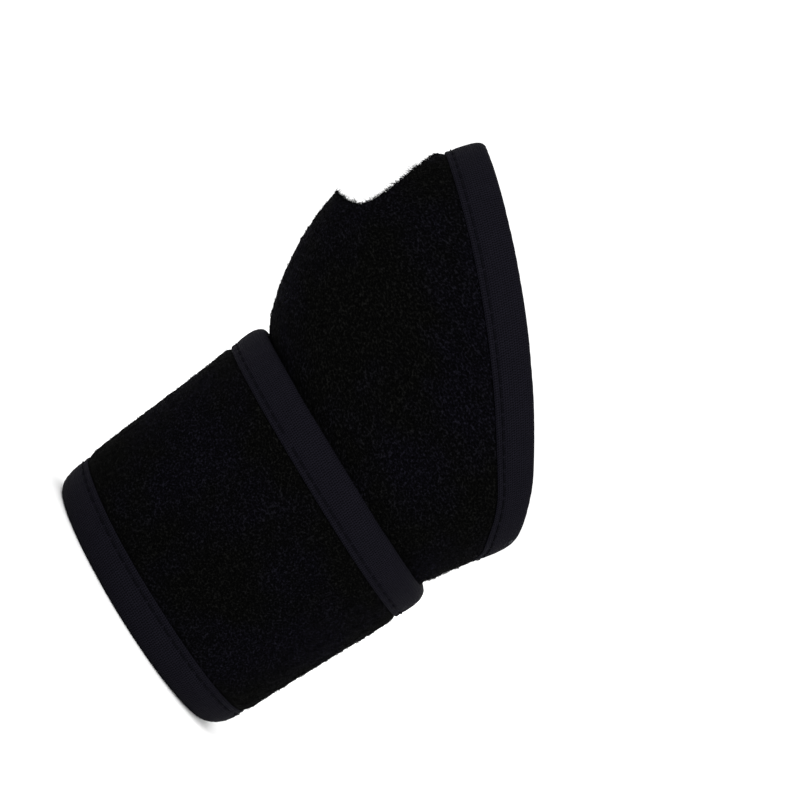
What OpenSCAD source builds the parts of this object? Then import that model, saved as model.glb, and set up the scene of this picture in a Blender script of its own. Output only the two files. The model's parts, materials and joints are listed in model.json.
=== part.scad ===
// Wrist support brace: one padded strip with a thumb hole, wound nearly twice round a right hand and
// wrist, and closed on the palm side with hook and loop.
// Frame: +Z points to the fingers, -Y is the back of the hand, -X the thumb side. The origin is the
// middle of the opening for the forearm, in the plane of the rim that the brace stands on.
// A place on the strip is an angle round the wrist, phi, and a height z. phi is 0 at the middle of the
// palm, 90 at the thumb side, 180 at the back of the hand and 270 at the little-finger side, and it
// keeps growing along the strip as it winds.

/* [Wrist and hand form] */
// Breadth of the forearm opening
rim_breadth = 58; // [56:0.5:60]
// Depth of the forearm opening, back to palm
rim_depth = 40; // [38:0.5:42]
// From the origin to the thumb side of the wrist
wrist_radial = 35.9; // [35:0.1:37]
// From the origin to the little-finger side of the wrist
wrist_ulnar = 28.9; // [28:0.1:29.5]
// Depth of the wrist and palm
palm_depth = 44; // [43:0.5:46]
// From the origin to the thumb side at the root of the thumb
thumb_radial = 57.6; // [57:0.1:59]
// Height of the root of the thumb
thumb_z = 96; // [95:0.5:97]
// From the origin to the web between thumb and first finger
web_radial = 50; // [49:0.5:51]
// From the origin to the little-finger side of the palm
palm_ulnar = 32; // [31:0.1:32.5]
// Height where the little-finger side is broadest
palm_z = 90; // [88:0.5:91]
// Depth at the web
web_depth = 36; // [35:0.5:38]

/* [Strip] */
// Width of the wrist strap
strap_h = 63.5; // [62:0.5:65]
// Radius of the curved distal edge over the back of the hand
distal_r = 300; // [298:0.5:302]
// Drop of the distal edge from the web to the end beside the palm
flap_drop = 12; // [8:1:14]
// Thickness of the lining
lining_t = 0.4; // [0.3:0.05:0.5]
// Thickness of the foam core
foam_t = 1.9; // [1.7:0.1:2.1]
// Thickness of the loop face
loop_t = 0.7; // [0.5:0.05:0.8]
// Space between one turn of the strip and the next
turn_gap = 0.3; // [0.3:0.05:0.4]

/* [Edge tape and seams] */
// Width of the edge tape on each face
tape_w = 9.5; // [8.5:0.1:10]
// Thickness of the edge tape
tape_t = 0.7; // [0.5:0.05:0.8]
// Groove between the edge tape and the pile
groove_w = 0.6; // [0.4:0.1:0.8]
// From the tape's inner edge to its seam
seam_in = 1.6; // [1.2:0.1:2]
// Pitch of the seams' stitches
stitch_pitch = 6; // [5.5:0.5:8]
// Length, width and height of a stitch
stitch = [3.4, 0.6, 0.3]; // [0.2:0.1:4]

/* [Thumb hole] */
// Height where the hole is widest
hole_z = 102; // [101.5:0.1:102.5]
// From there to its edge towards the wrist
hole_down = 5.8; // [5:0.1:6]
// From there to its edge towards the fingers
hole_up = 21.2; // [20:0.1:21.3]
// Half of the hole's spread round the thumb side, in degrees
hole_phi = 30; // [28:0.5:30]
// Squareness of the hole's end towards the wrist: 2 is an ellipse
wrist_end_power = 3; // [2:0.1:4]
// Squareness of its end towards the fingers
finger_end_power = 1.5; // [1.3:0.1:2.5]

/* [Folds and closure] */
// Angle where the strip begins, beside the thumb
flap_start = 35; // [34:1:36]
// Angle of the fold where the strap lifts off the back of the wrist
back_fold = 465; // [462:1:468]
// Angle of the fold at the little-finger side
side_fold = 585; // [580:1:588]
// Angle of the fold where the tab peels
tab_fold = 650; // [645:1:652]
// Angle where the strip ends, on the palm
tab_end = 704; // [700:1:708]
// Corner radius of the tab
tab_r = 14; // [13:0.5:16]
// Thickness of the hook patch
hook_t = 1.3; // [1.1:0.1:1.4]
// Clear width of tape-free tab around the hook patch
hook_inset = 3; // [2:0.5:4]

/* [Hidden] */

laminate_t = lining_t + foam_t + loop_t;
turn_lift = laminate_t + turn_gap;
fold_gap = 0.4; // half the cut at a fold, in degrees
hook_room = hook_t + 0.1; // extra lift of the tab, so that the hook patch fits below it
hook_run = 14; // degrees before the tab's fold in which the strip rises by that much
column_step = 7.5; // degrees between a sheet's columns
hole_columns = 12;
slit_run = 20; // degrees beside the hole in which the slit rows come to its level
flare_rows = 3; // rows between the strap's top and the level of the thumb hole
slit_share = 0.82; // level of the thumb hole, as a share of the strip's height
kink_share = 0.86; // highest place for the row at the strap's top, as a share of that level
tape_chamfer = 0.5;
bedding = 0.12; // gap below a stitch, which keeps it clear of the curved tape
seam_end = 6; // degrees of a seam left free beside a cut or an end

// The distal edge over the back of the hand is an arc, seen square on from the back.
arc_x = -129.9;
arc_z = -156;
web_x = -54;
knuckle_x = 36.6;
// Towards the little finger it drops away from the arc.
drop_x = 24;
drop_rate = 0.02;
// From the little-finger side it comes down to the strap's own edge between these angles.
arc_end = 255;
edge_end = 420;

// How the thumb side of the form bends out above the strap, and in again to the web.
flare_bend = 0.85;
web_bend = 1.3;
web_z = 134;

// The laminate's four surfaces, from the skin outwards: free, and pressed flat under the tape.
pressed_lining = 0.25;
pressed_loop = 0.45;
free_levels = [0, lining_t, lining_t + foam_t, laminate_t];
bound_levels = [tape_t, tape_t + pressed_lining, laminate_t - tape_t - pressed_loop, laminate_t - tape_t];

// ---- The form that the strip is wound on ---------------------------------------------------------

function lerp(a, b, t) = a + (b - a) * t;
function smooth(t) = let (u = min(1, max(0, t))) u * u * (3 - 2 * u);

// How far the form reaches on the thumb side: it flares above the strap, and turns in at the web.
function radial_x(z) = z < strap_h ? lerp(rim_breadth / 2, wrist_radial, z / strap_h)
    : z < thumb_z ? let (t = pow((z - strap_h) / (thumb_z - strap_h), flare_bend))
        lerp(wrist_radial, thumb_radial, (t + sin(90 * t)) / 2)
    : lerp(thumb_radial, web_radial, pow(min(1, (z - thumb_z) / (web_z - thumb_z)), web_bend));

// How far it reaches on the little-finger side.
function ulnar_x(z) = z < strap_h ? lerp(rim_breadth / 2, wrist_ulnar, z / strap_h)
    : lerp(wrist_ulnar, palm_ulnar, smooth((z - strap_h) / (palm_z - strap_h)));

function half_depth(z) = z < strap_h ? lerp(rim_depth, palm_depth, z / strap_h) / 2
    : lerp(palm_depth, web_depth, smooth((z - palm_z) / (web_z - palm_z))) / 2;

// A point at an angle and height, a given distance outside the form.
function at(phi, z, off) = let (a = (ulnar_x(z) + radial_x(z)) / 2, mid = (ulnar_x(z) - radial_x(z)) / 2,
        b = half_depth(z), n = [-b * sin(phi), a * cos(phi)])
    [mid - a * sin(phi) + off * n.x / norm(n), b * cos(phi) + off * n.y / norm(n), z];

// The strip winds outwards by its own thickness in each turn, and a little more under the tab.
function lift(phi) = turn_lift * (phi - flap_start) / 360
    + hook_room * smooth((phi - tab_fold + hook_run) / hook_run);

function place(phi, z, off) = at(phi, z, lift(phi) + off);

// Length of one degree of the strip.
function degree_mm(phi, z) = norm(place(phi + 0.5, z, laminate_t / 2) - place(phi - 0.5, z, laminate_t / 2));

// Height of the distal edge. Over the back of the hand it is the arc's height where the outer face lies.
function arc_edge(x) = arc_z + sqrt(distal_r * distal_r - pow(x - arc_x, 2))
    - drop_rate * pow(max(0, x - drop_x), 2);
function near_edge(phi) = arc_edge((web_x + knuckle_x) / 2 + (web_x - knuckle_x) / 2 * sin(phi));
function back_edge(phi) = arc_edge(max(web_x, place(phi, near_edge(phi), laminate_t).x));
function palm_edge(phi) = let (run = edge_end - arc_end, t = min(1, (phi - arc_end) / run),
        top = back_edge(arc_end), slope = top - back_edge(arc_end - 1))
    lerp(top, strap_h, smooth(t)) + slope * run * t * pow(1 - t, 2);
function distal_z(phi) = phi < 90 ? arc_edge(web_x) - flap_drop * pow((90 - phi) / (90 - flap_start), 2)
    : phi < arc_end ? back_edge(phi) : palm_edge(phi);

// How much longer the slanted edge makes a height measured straight up.
function slant(phi) = let (z = distal_z(phi))
    norm([1, (distal_z(phi + 1) - distal_z(phi - 1)) / 2 / degree_mm(phi, z)]);

// ---- Sheets: the three layers of the laminate -----------------------------------------------------

// How much of its full reach up or down the thumb hole has at an angle; nothing outside it.
function hole_share(phi, power) = let (u = abs(phi - 90) / hole_phi)
    u > 0.9999 ? 0 : pow(1 - pow(u, power), 1 / power);

// The heights of a column's rows. One lies at the strap's top, where the form starts to flare. The slit
// rows part where the thumb hole is, and meet elsewhere.
function rows(phi) = let (top = distal_z(phi), f = slant(phi), slit = slit_share * top,
        base = tape_w + groove_w,
        mid = lerp(slit, hole_z, smooth((hole_phi + slit_run - abs(phi - 90)) / slit_run)),
        low = mid - hole_down * hole_share(phi, wrist_end_power),
        high = mid + hole_up * hole_share(phi, finger_end_power),
        kink = min(strap_h, kink_share * slit), cap = top - base * f)
    concat([tape_t, tape_w, base], [for (i = [0 : flare_rows]) lerp(kink, low, i / flare_rows)],
        [high, (high + cap) / 2, cap, top - tape_w * f, top - tape_t * f]);

// The strap has straight sides, so it needs no rows between its tapes.
strap_rows = let (base = tape_w + groove_w)
    [tape_t, tape_w, base, strap_h - base, strap_h - tape_w, strap_h - tape_t];

// Angles of the columns between two folds.
function strap_columns(from, to) = let (n = ceil((to - from) / column_step))
    [for (i = [0 : n]) lerp(from, to, i / n)];

// The hand section's first three columns lie under and beside the flap's end tape. Each is straight
// below the distal and the proximal tape, as they are.
end_distances = [tape_t, tape_w, tape_w + groove_w];
end_levels = rows(flap_start);
last_row = len(end_levels) - 1;
function flap_phi(d, j) = flap_start + d / degree_mm(flap_start, end_levels[max(1, min(j, last_row - 1))]);
function under_tape(j, count) = j < 2 || j > count - 3;

// A grid point is an angle, a height and whether it is pressed under tape.
hand_grid = concat(
    [for (d = end_distances) [for (j = [0 : last_row])
        let (phi = flap_phi(d, j)) [phi, rows(phi)[j], d <= tape_w || under_tape(j, last_row + 1)]]],
    [for (i = [0 : hole_columns]) let (phi = 90 - hole_phi * cos(180 * i / hole_columns))
        free_column(phi, rows(phi))],
    [for (phi = strap_columns(90 + hole_phi + column_step, back_fold - fold_gap))
        free_column(phi, rows(phi))]);
back_grid = [for (phi = strap_columns(back_fold + fold_gap, side_fold - fold_gap))
    free_column(phi, strap_rows)];
side_grid = [for (phi = strap_columns(side_fold + fold_gap, tab_fold - fold_gap))
    free_column(phi, strap_rows)];

function free_column(phi, zs) = let (n = len(zs))
    [for (j = [0 : n - 1]) [phi, zs[j], under_tape(j, n)]];

function level(layer, bound) = bound ? bound_levels[layer] : free_levels[layer];
function flip(quad) = [quad[3], quad[2], quad[1], quad[0]];

// Two triangles for a quad, cut from its first corner to its third.
function halves(q) = [[q[0], q[1], q[2]], [q[0], q[2], q[3]]];
// The same, cut from its second corner to its fourth.
function other_halves(q) = [[q[0], q[1], q[3]], [q[1], q[2], q[3]]];

// One layer of a gridded sheet. slit is the row below the thumb hole, or -1.
module sheet(grid, layer, slit = -1) {
    nc = len(grid);
    nr = len(grid[0]);
    function open(i) = slit >= 0 && grid[i][slit + 1][1] - grid[i][slit][1] > 0.01;
    function id(side, i, j) = (side * nc + i) * nr + (j == slit + 1 && slit >= 0 && !open(i) ? slit : j);
    points = [for (side = [0, 1], column = grid, p = column)
        place(p[0], p[1], level(layer + side, p[2]))];
    function edge(i, j, k, l) = [id(1, i, j), id(1, k, l), id(0, k, l), id(0, i, j)];
    cells = [for (i = [0 : nc - 2], j = [0 : nr - 2]) if (j != slit) [i, j]];
    gaps = [for (i = [0 : nc - 2]) if (slit >= 0 && (open(i) || open(i + 1))) i];
    ends = [for (j = [0 : nr - 2]) if (j != slit) j];
    faces = concat(
        [for (c = cells, h = halves([id(1, c.x, c.y), id(1, c.x, c.y + 1),
            id(1, c.x + 1, c.y + 1), id(1, c.x + 1, c.y)])) h],
        [for (c = cells, h = halves([id(0, c.x + 1, c.y + 1), id(0, c.x, c.y + 1),
            id(0, c.x, c.y), id(0, c.x + 1, c.y)])) h],
        [for (i = [0 : nc - 2], h = halves(edge(i, 0, i + 1, 0))) h],
        [for (i = [0 : nc - 2], h = halves(edge(i + 1, nr - 1, i, nr - 1))) h],
        [for (j = ends, h = halves(edge(0, j + 1, 0, j))) h],
        [for (j = ends, h = halves(edge(nc - 1, j, nc - 1, j + 1))) h],
        [for (i = gaps, h = halves(edge(i + 1, slit, i, slit))) h],
        [for (i = gaps, h = halves(edge(i, slit + 1, i + 1, slit + 1))) h]);
    polyhedron(points, [for (f = faces) if (f[0] != f[1] && f[1] != f[2] && f[2] != f[0]) f]);
}

// ---- Edge tape ------------------------------------------------------------------------------------

// The tape's section, as distance in from the edge and height off the skin side.
tape_section = let (w = tape_w, t = tape_t, c = tape_chamfer, h = laminate_t)
    [[c, 0], [w, 0], [w, t], [t, t], [t, h - t], [w, h - t], [w, h], [c, h], [0, h - c], [0, c]];

// The section at a point of the edge: an angle, a height, and the way in across and up the strip.
function tape_ring(p) = [for (u = tape_section) let (phi = p[0] + p[2] * u[0] / degree_mm(p[0], p[1]))
    place(phi, p[1] + p[3] * u[0], u[1])];

// A tape swept along rings, with the strip on the left of its path as seen from outside. Its faces on
// the sheet are cut like the sheet's own; on a path down a column, that is the other way.
module tape(rings, down = false) {
    n = len(rings);
    m = len(tape_section);
    cap = concat(halves([0, 1, 2, 3]), [[0, 3, 9]], halves([9, 3, 4, 8]), [[4, 7, 8]],
        halves([4, 5, 6, 7]));
    points = [for (r = rings, p = r) p];
    sides = [for (i = [0 : n - 2], j = [0 : m - 1]) let (k = (j + 1) % m,
            q = [i * m + j, (i + 1) * m + j, (i + 1) * m + k, i * m + k])
        each (j == 2) != down ? other_halves(q) : halves(q)];
    last = (n - 1) * m;
    polyhedron(points, concat(sides, cap, [for (c = cap) [c[2] + last, c[1] + last, c[0] + last]]));
}

function angles(grid) = [for (column = grid) column[0][0]];
function reversed(v) = [for (i = [len(v) - 1 : -1 : 0]) v[i]];
function low_edge(phis) = [for (phi = phis) tape_ring([phi, 0, 0, 1])];
function high_edge(phis) = [for (phi = reversed(phis)) tape_ring([phi, distal_z(phi), 0, -slant(phi)])];

// The hand section's tapes start at the flap's very end.
hand_angles = concat([flap_start], [for (i = [0 : len(hand_grid) - 1]) hand_grid[i][0][0]]);
hand_top_angles = concat([flap_start], [for (c = hand_grid) c[len(c) - 1][0]]);

// ---- Seams ----------------------------------------------------------------------------------------

function unit(v) = v / norm(v);

// One stitch on the outer face, along a direction given across and up the strip.
module one_stitch(phi, z, across, up) {
    step = 0.5;
    off = laminate_t + bedding;
    here = place(phi, z, off);
    ahead = place(phi + step * across / degree_mm(phi, z), z + step * up, off);
    side = place(phi - step * up / degree_mm(phi, z), z + step * across, off);
    x = unit(ahead - here);
    n = unit(cross(x, side - here));
    y = cross(n, x);
    multmatrix([[x.x, y.x, n.x, here.x], [x.y, y.y, n.y, here.y], [x.z, y.z, n.z, here.z], [0, 0, 0, 1]])
        translate([-stitch.x / 2, -stitch.y / 2, 0]) cube(stitch);
}

// Angles of stitches a pitch apart along a row at a height, between two angles.
function seam_steps(from, to, z, done = []) = from > to ? done
    : seam_steps(from + stitch_pitch / degree_mm(from, z), to, z, concat(done, [from]));

module low_seam(from, to) {
    z = tape_w - seam_in;
    for (phi = seam_steps(from, to, z)) one_stitch(phi, z, 1, 0);
}

module high_seam(from, to) {
    for (phi = seam_steps(from, to, strap_h)) {
        z = distal_z(phi) - (tape_w - seam_in) * slant(phi);
        rise = (distal_z(phi + 1) - distal_z(phi - 1)) / 2 / degree_mm(phi, z);
        one_stitch(phi, z, 1 / norm([1, rise]), rise / norm([1, rise]));
    }
}

// ---- Tab ------------------------------------------------------------------------------------------

tab_degree = degree_mm((tab_fold + tab_end) / 2, strap_h / 2);
corner_phi = tab_end - tab_r / tab_degree;
corner_steps = 6;

// The hook patch and the tab share their columns, so that they touch. It starts clear of the fold.
hook_start = 3;
hook_columns = strap_columns(tab_fold + hook_start, corner_phi);

// The tab's edge up to the middle of its end, as angle, height and the way in.
tab_half = concat(
    [for (phi = concat([tab_fold + fold_gap], hook_columns)) [phi, 0, 0, 1]],
    [for (i = [1 : corner_steps]) let (b = 90 * i / corner_steps)
        [corner_phi + tab_r * sin(b) / tab_degree, tab_r * (1 - cos(b)), -sin(b), cos(b)]]);
function mirrored(p) = [p[0], strap_h - p[1], p[2], -p[3]];
tab_path = concat(tab_half, [for (p = reversed(tab_half)) mirrored(p)]);

// A point a distance in from the tab's edge.
function inside(p, d) = [p[0] + p[2] * d / degree_mm(p[0], p[1]), p[1] + p[3] * d];

// One layer of the tab: a band round its edge, and columns between the band's two long sides.
module tab_sheet(layer) {
    n = len(tab_path);
    k = len(tab_half) - 1;
    function id(side, i, r) = side * 3 * n + 3 * i + r;
    points = [for (side = [0, 1], p = tab_path, d = end_distances) let (q = inside(p, d))
        place(q.x, q.y, level(layer + side, d <= tape_w))];
    quads = concat([for (i = [0 : n - 2], r = [0, 1]) [[i, r], [i, r + 1], [i + 1, r + 1], [i + 1, r]]],
        [for (i = [0 : k - 1]) [[i, 2], [n - 1 - i, 2], [n - 2 - i, 2], [i + 1, 2]]]);
    cut = [[0, 0], [0, 1], [0, 2], [n - 1, 2], [n - 1, 1], [n - 1, 0]];
    polyhedron(points, concat(
        [for (q = quads, h = halves([for (c = q) id(1, c.x, c.y)])) h],
        [for (q = quads, h = halves([for (c = [q[2], q[1], q[0], q[3]]) id(0, c.x, c.y)])) h],
        [for (i = [0 : n - 2], h = halves([id(1, i, 0), id(1, i + 1, 0), id(0, i + 1, 0), id(0, i, 0)])) h],
        [for (j = [0 : 4], h = halves([id(1, cut[j + 1].x, cut[j + 1].y), id(1, cut[j].x, cut[j].y),
            id(0, cut[j].x, cut[j].y), id(0, cut[j + 1].x, cut[j + 1].y)])) h]));
}

// The hook patch lies on the tab's lining, inside its tape.
hook_low = tape_w + groove_w + hook_inset;

module patch_sheet() {
    n = len(hook_columns);
    points = [for (off = [-hook_t, 0], phi = hook_columns, z = [hook_low, strap_h - hook_low])
        place(phi, z, off)];
    function id(side, i, j) = side * 2 * n + 2 * i + j;
    function ring(i) = [id(0, i, 0), id(1, i, 0), id(1, i, 1), id(0, i, 1)];
    faces = concat(
        [for (i = [0 : n - 2], j = [0 : 3]) let (k = (j + 1) % 4)
            each halves([ring(i)[j], ring(i)[k], ring(i + 1)[k], ring(i + 1)[j]])],
        halves(flip(ring(0))), halves(ring(n - 1)));
    polyhedron(points, faces);
}

// ---- Sub-parts ------------------------------------------------------------------------------------

loop_black = [0.07, 0.07, 0.08];
foam_black = [0.16, 0.16, 0.17];
lining_black = [0.11, 0.11, 0.12];
tape_black = [0.12, 0.12, 0.16];
thread_black = [0.22, 0.22, 0.26];
hook_black = [0.18, 0.18, 0.2];
slit_row = 3 + flare_rows;

module hand_core() { color(foam_black) sheet(hand_grid, 1, slit_row); }
module hand_loop_face() { color(loop_black) sheet(hand_grid, 2, slit_row); }
module hand_lining() { color(lining_black) sheet(hand_grid, 0, slit_row); }
module hand_distal_binding() { color(tape_black) tape(high_edge(hand_top_angles)); }
module hand_proximal_binding() { color(tape_black) tape(low_edge(hand_angles)); }

// The flap's end tape runs down between the distal and the proximal tape.
module flap_end_binding() {
    color(tape_black) tape([for (j = [last_row - 1 : -1 : 1]) if (j != slit_row + 1)
        [for (u = tape_section) let (phi = flap_phi(u[0], j)) place(phi, rows(phi)[j], u[1])]],
        down = true);
}

module hand_distal_seam() { color(thread_black) high_seam(flap_start + seam_end, back_fold - seam_end); }
// Only the stretch that no later turn covers has a seam with room on its outer face.
module hand_proximal_seam() {
    color(thread_black) low_seam(tab_end - 360 + seam_end, back_fold - seam_end);
}
module flap_end_seam() {
    from = strap_h + stitch_pitch;
    to = distal_z(flap_start) - 2 * tape_w;
    color(thread_black) for (z = [from : stitch_pitch : to])
        one_stitch(flap_start + (tape_w - seam_in) / degree_mm(flap_start, z), z, 0, 1);
}

module back_core() { color(foam_black) sheet(back_grid, 1); }
module back_loop_face() { color(loop_black) sheet(back_grid, 2); }
module back_lining() { color(lining_black) sheet(back_grid, 0); }
module back_distal_binding() { color(tape_black) tape(high_edge(angles(back_grid))); }
module back_proximal_binding() { color(tape_black) tape(low_edge(angles(back_grid))); }
module back_distal_seam() { color(thread_black) high_seam(back_fold + seam_end, side_fold - seam_end); }
module back_proximal_seam() { color(thread_black) low_seam(back_fold + seam_end, side_fold - seam_end); }

module side_core() { color(foam_black) sheet(side_grid, 1); }
module side_loop_face() { color(loop_black) sheet(side_grid, 2); }
module side_lining() { color(lining_black) sheet(side_grid, 0); }
module side_distal_binding() { color(tape_black) tape(high_edge(angles(side_grid))); }
module side_proximal_binding() { color(tape_black) tape(low_edge(angles(side_grid))); }
module side_distal_seam() { color(thread_black) high_seam(side_fold + seam_end, tab_fold - seam_end); }
module side_proximal_seam() { color(thread_black) low_seam(side_fold + seam_end, tab_fold - seam_end); }

module tab_core() { color(foam_black) tab_sheet(1); }
module tab_loop_face() { color(loop_black) tab_sheet(2); }
module tab_lining() { color(lining_black) tab_sheet(0); }
module tab_binding() { color(tape_black) tape([for (p = tab_path) tape_ring(p)]); }

// The tab's seam follows its edge: two long sides and the end between the corners.
module tab_seam() {
    z = tape_w - seam_in;
    color(thread_black) {
        low_seam(tab_fold + seam_end, corner_phi);
        high_seam(tab_fold + seam_end, corner_phi);
        for (h = [tab_r : stitch_pitch : strap_h - tab_r])
            one_stitch(tab_end - z / tab_degree, h, 0, 1);
    }
}

module hook_patch() { color(hook_black) patch_sheet(); }

// The hook patch's seam shows on the outer face as a rectangle, with no stitch at its corners.
module hook_seam() {
    inset = 2;
    corner = stitch_pitch / 2;
    low = hook_low + inset;
    from = hook_columns[0] + inset / tab_degree;
    to = corner_phi - inset / tab_degree;
    across = seam_steps(from + corner, to - corner, strap_h / 2);
    color(thread_black) {
        for (phi = across, z = [low, strap_h - low]) one_stitch(phi, z, 1, 0);
        for (phi = [from, to], z = [low + corner : stitch_pitch : strap_h - low - corner])
            one_stitch(phi, z, 0, 1);
    }
}

hand_core();
hand_loop_face();
hand_lining();
hand_distal_binding();
hand_proximal_binding();
flap_end_binding();
hand_distal_seam();
hand_proximal_seam();
flap_end_seam();
back_core();
back_loop_face();
back_lining();
back_distal_binding();
back_proximal_binding();
back_distal_seam();
back_proximal_seam();
side_core();
side_loop_face();
side_lining();
side_distal_binding();
side_proximal_binding();
side_distal_seam();
side_proximal_seam();
tab_core();
tab_loop_face();
tab_lining();
tab_binding();
tab_seam();
hook_patch();
hook_seam();
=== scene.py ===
"""Looks of a wrist support brace: black loop-faced foam laminate, knitted edge tape, seams and hook tape.

Lengths are in millimetres until a mesh is made. A place on the strip is an angle round the wrist, phi,
and a height z, as in the CAD source: phi is 0 at the middle of the palm, 90 at the thumb side, 180 at the
back of the hand, 270 at the little-finger side, and it keeps growing as the strip winds.
"""

import json
import math

import bpy
import numpy as np
from mathutils import Matrix, Vector

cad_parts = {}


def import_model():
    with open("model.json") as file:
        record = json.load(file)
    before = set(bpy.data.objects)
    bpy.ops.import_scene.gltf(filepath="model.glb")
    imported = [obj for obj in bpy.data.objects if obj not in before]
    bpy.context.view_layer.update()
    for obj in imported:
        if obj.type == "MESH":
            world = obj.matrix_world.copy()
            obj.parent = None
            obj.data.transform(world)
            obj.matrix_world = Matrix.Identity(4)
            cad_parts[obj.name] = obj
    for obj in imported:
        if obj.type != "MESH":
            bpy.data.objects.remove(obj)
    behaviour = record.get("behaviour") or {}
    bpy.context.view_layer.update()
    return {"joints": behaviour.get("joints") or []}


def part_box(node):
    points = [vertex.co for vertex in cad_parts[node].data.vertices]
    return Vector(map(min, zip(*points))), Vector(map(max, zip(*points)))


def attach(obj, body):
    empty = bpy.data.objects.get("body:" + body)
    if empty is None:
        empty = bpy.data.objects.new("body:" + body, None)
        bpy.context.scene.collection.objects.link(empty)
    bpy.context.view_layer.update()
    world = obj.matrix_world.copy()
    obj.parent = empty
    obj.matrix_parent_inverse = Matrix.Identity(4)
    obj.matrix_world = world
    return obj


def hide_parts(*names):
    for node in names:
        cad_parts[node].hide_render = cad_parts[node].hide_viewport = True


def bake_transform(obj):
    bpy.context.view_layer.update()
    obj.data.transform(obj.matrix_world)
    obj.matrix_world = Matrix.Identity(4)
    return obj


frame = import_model()

MM = 0.001

# ---- Driving dimensions, as in the CAD source -----------------------------------------------------

STRAP_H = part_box("tab_binding")[1][2] / MM
RIM_BREADTH, RIM_DEPTH = 58.0, 40.0
WRIST_RADIAL, WRIST_ULNAR, PALM_DEPTH = 35.9, 28.9, 44.0
THUMB_RADIAL, THUMB_Z, FLARE_BEND = 57.6, 96.0, 0.85
WEB_RADIAL, WEB_Z, WEB_DEPTH, WEB_BEND = 50.0, 134.0, 36.0, 1.3
PALM_ULNAR, PALM_Z = 32.0, 90.0
ARC_R, ARC_X, ARC_Z, DROP_X, DROP_RATE = 300.0, -129.9, -156.0, 24.0, 0.02
WEB_X, KNUCKLE_X = -54.0, 36.6
ARC_END, EDGE_END = 255.0, 420.0
FLAP_DROP = 12.0
LAMINATE_T = 3.0
MIDDLE = LAMINATE_T / 2
TURN_LIFT = 3.3
HOOK_ROOM, HOOK_RUN = 1.4, 14.0
TAPE_W = 9.5
SEAM_IN = 7.9  # from the edge to the seam
HOLE_Z, HOLE_DOWN, HOLE_UP, HOLE_PHI = 102.0, 5.8, 21.2, 30.0
WRIST_END_POWER, FINGER_END_POWER = 3.0, 1.5
SLIT_SHARE, SLIT_RUN, KINK_SHARE = 0.82, 20.0, 0.86
FLAP_START, BACK_FOLD, SIDE_FOLD, TAB_FOLD, TAB_END = 35.0, 465.0, 585.0, 650.0, 704.0
TAB_R = 14.0

# Where one mesh ends and the next begins, between the folds.
HAND_END, BACK_MID, SIDE_MID = 450.0, 525.0, 617.0

# ---- Soft shape ------------------------------------------------------------------------------------

CROWN = 0.3  # how far the free pile stands above its pressed edges
WAIST = 0.6  # how deep the strap's top edge sinks into the hand section
WAIST_REACH = 2.2
RIM_TUCK = 1.1  # how far the proximal rim draws in
RIM_REACH = 7  # height up to which it does
STITCH_PITCH = 3.4
STITCH_RADIUS = 0.15
LOOP_DENSITY = 0.22  # standing loops of yarn in a square mm of pile
PILE_LUMP = 0.11  # size of the pile's lumps
LUMP_FROM = 0.8  # how far from the tape they begin
CELL = 1.05  # size of the pile's mesh cells
PLAIN_COARSE = 2.6  # how much coarser the foam's and the lining's meshes are
HOLE_FIBRES = 2400  # cut fibres round the thumb hole

rng = np.random.default_rng(20)


def lerp(a, b, t):
    return a + (b - a) * t


def smooth(t):
    u = np.clip(t, 0, 1)
    return u * u * (3 - 2 * u)


# ---- The form that the strip is wound on -----------------------------------------------------------


def radial_x(z):
    t = np.clip((z - STRAP_H) / (THUMB_Z - STRAP_H), 0, 1) ** FLARE_BEND
    flare = lerp(WRIST_RADIAL, THUMB_RADIAL, (t + np.sin(t * math.pi / 2)) / 2)
    web = lerp(THUMB_RADIAL, WEB_RADIAL, np.clip((z - THUMB_Z) / (WEB_Z - THUMB_Z), 0, 1) ** WEB_BEND)
    strap = lerp(RIM_BREADTH / 2, WRIST_RADIAL, z / STRAP_H)
    return np.where(z < STRAP_H, strap, np.where(z < THUMB_Z, flare, web))


def ulnar_x(z):
    palm = lerp(WRIST_ULNAR, PALM_ULNAR, smooth((z - STRAP_H) / (PALM_Z - STRAP_H)))
    return np.where(z < STRAP_H, lerp(RIM_BREADTH / 2, WRIST_ULNAR, z / STRAP_H), palm)


def half_depth(z):
    palm = lerp(PALM_DEPTH, WEB_DEPTH, smooth((z - PALM_Z) / (WEB_Z - PALM_Z)))
    return np.where(z < STRAP_H, lerp(RIM_DEPTH, PALM_DEPTH, z / STRAP_H), palm) / 2


def tuck(phi, z):
    """How far the worn fabric leaves the plain form: drawn in at both of the strap's edges, and uneven."""
    waist = WAIST * np.exp(-(((z - STRAP_H) / WAIST_REACH) ** 2))
    p = np.radians(phi)
    ulnar = 1 + 1.2 * np.clip(-np.sin(p), 0, 1)
    rim = RIM_TUCK * ulnar * np.clip(1 - z / RIM_REACH, 0, 1) ** 2
    uneven = 0.22 * np.sin(3 * p + z / 17) + 0.16 * np.sin(5 * p - z / 11 + 1) + 0.1 * np.sin(7 * p + z / 7)
    return uneven * smooth(z / 12) - waist - rim


def place(phi, z, off, worn=True):
    """The points a distance outside the strip's own skin side at these angles and heights."""
    phi, z, off = np.broadcast_arrays(*(np.asarray(v, float) for v in (phi, z, off)))
    p = np.radians(phi)
    a, mid = (ulnar_x(z) + radial_x(z)) / 2, (ulnar_x(z) - radial_x(z)) / 2
    b = half_depth(z)
    nx, ny = -b * np.sin(p), a * np.cos(p)
    size = np.hypot(nx, ny)
    lift = TURN_LIFT * (phi - FLAP_START) / 360 + HOOK_ROOM * smooth((phi - TAB_FOLD + HOOK_RUN) / HOOK_RUN)
    out = off + lift + (tuck(phi, z) if worn else 0)
    return np.stack([mid - a * np.sin(p) + out * nx / size, b * np.cos(p) + out * ny / size, z], -1)


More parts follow.
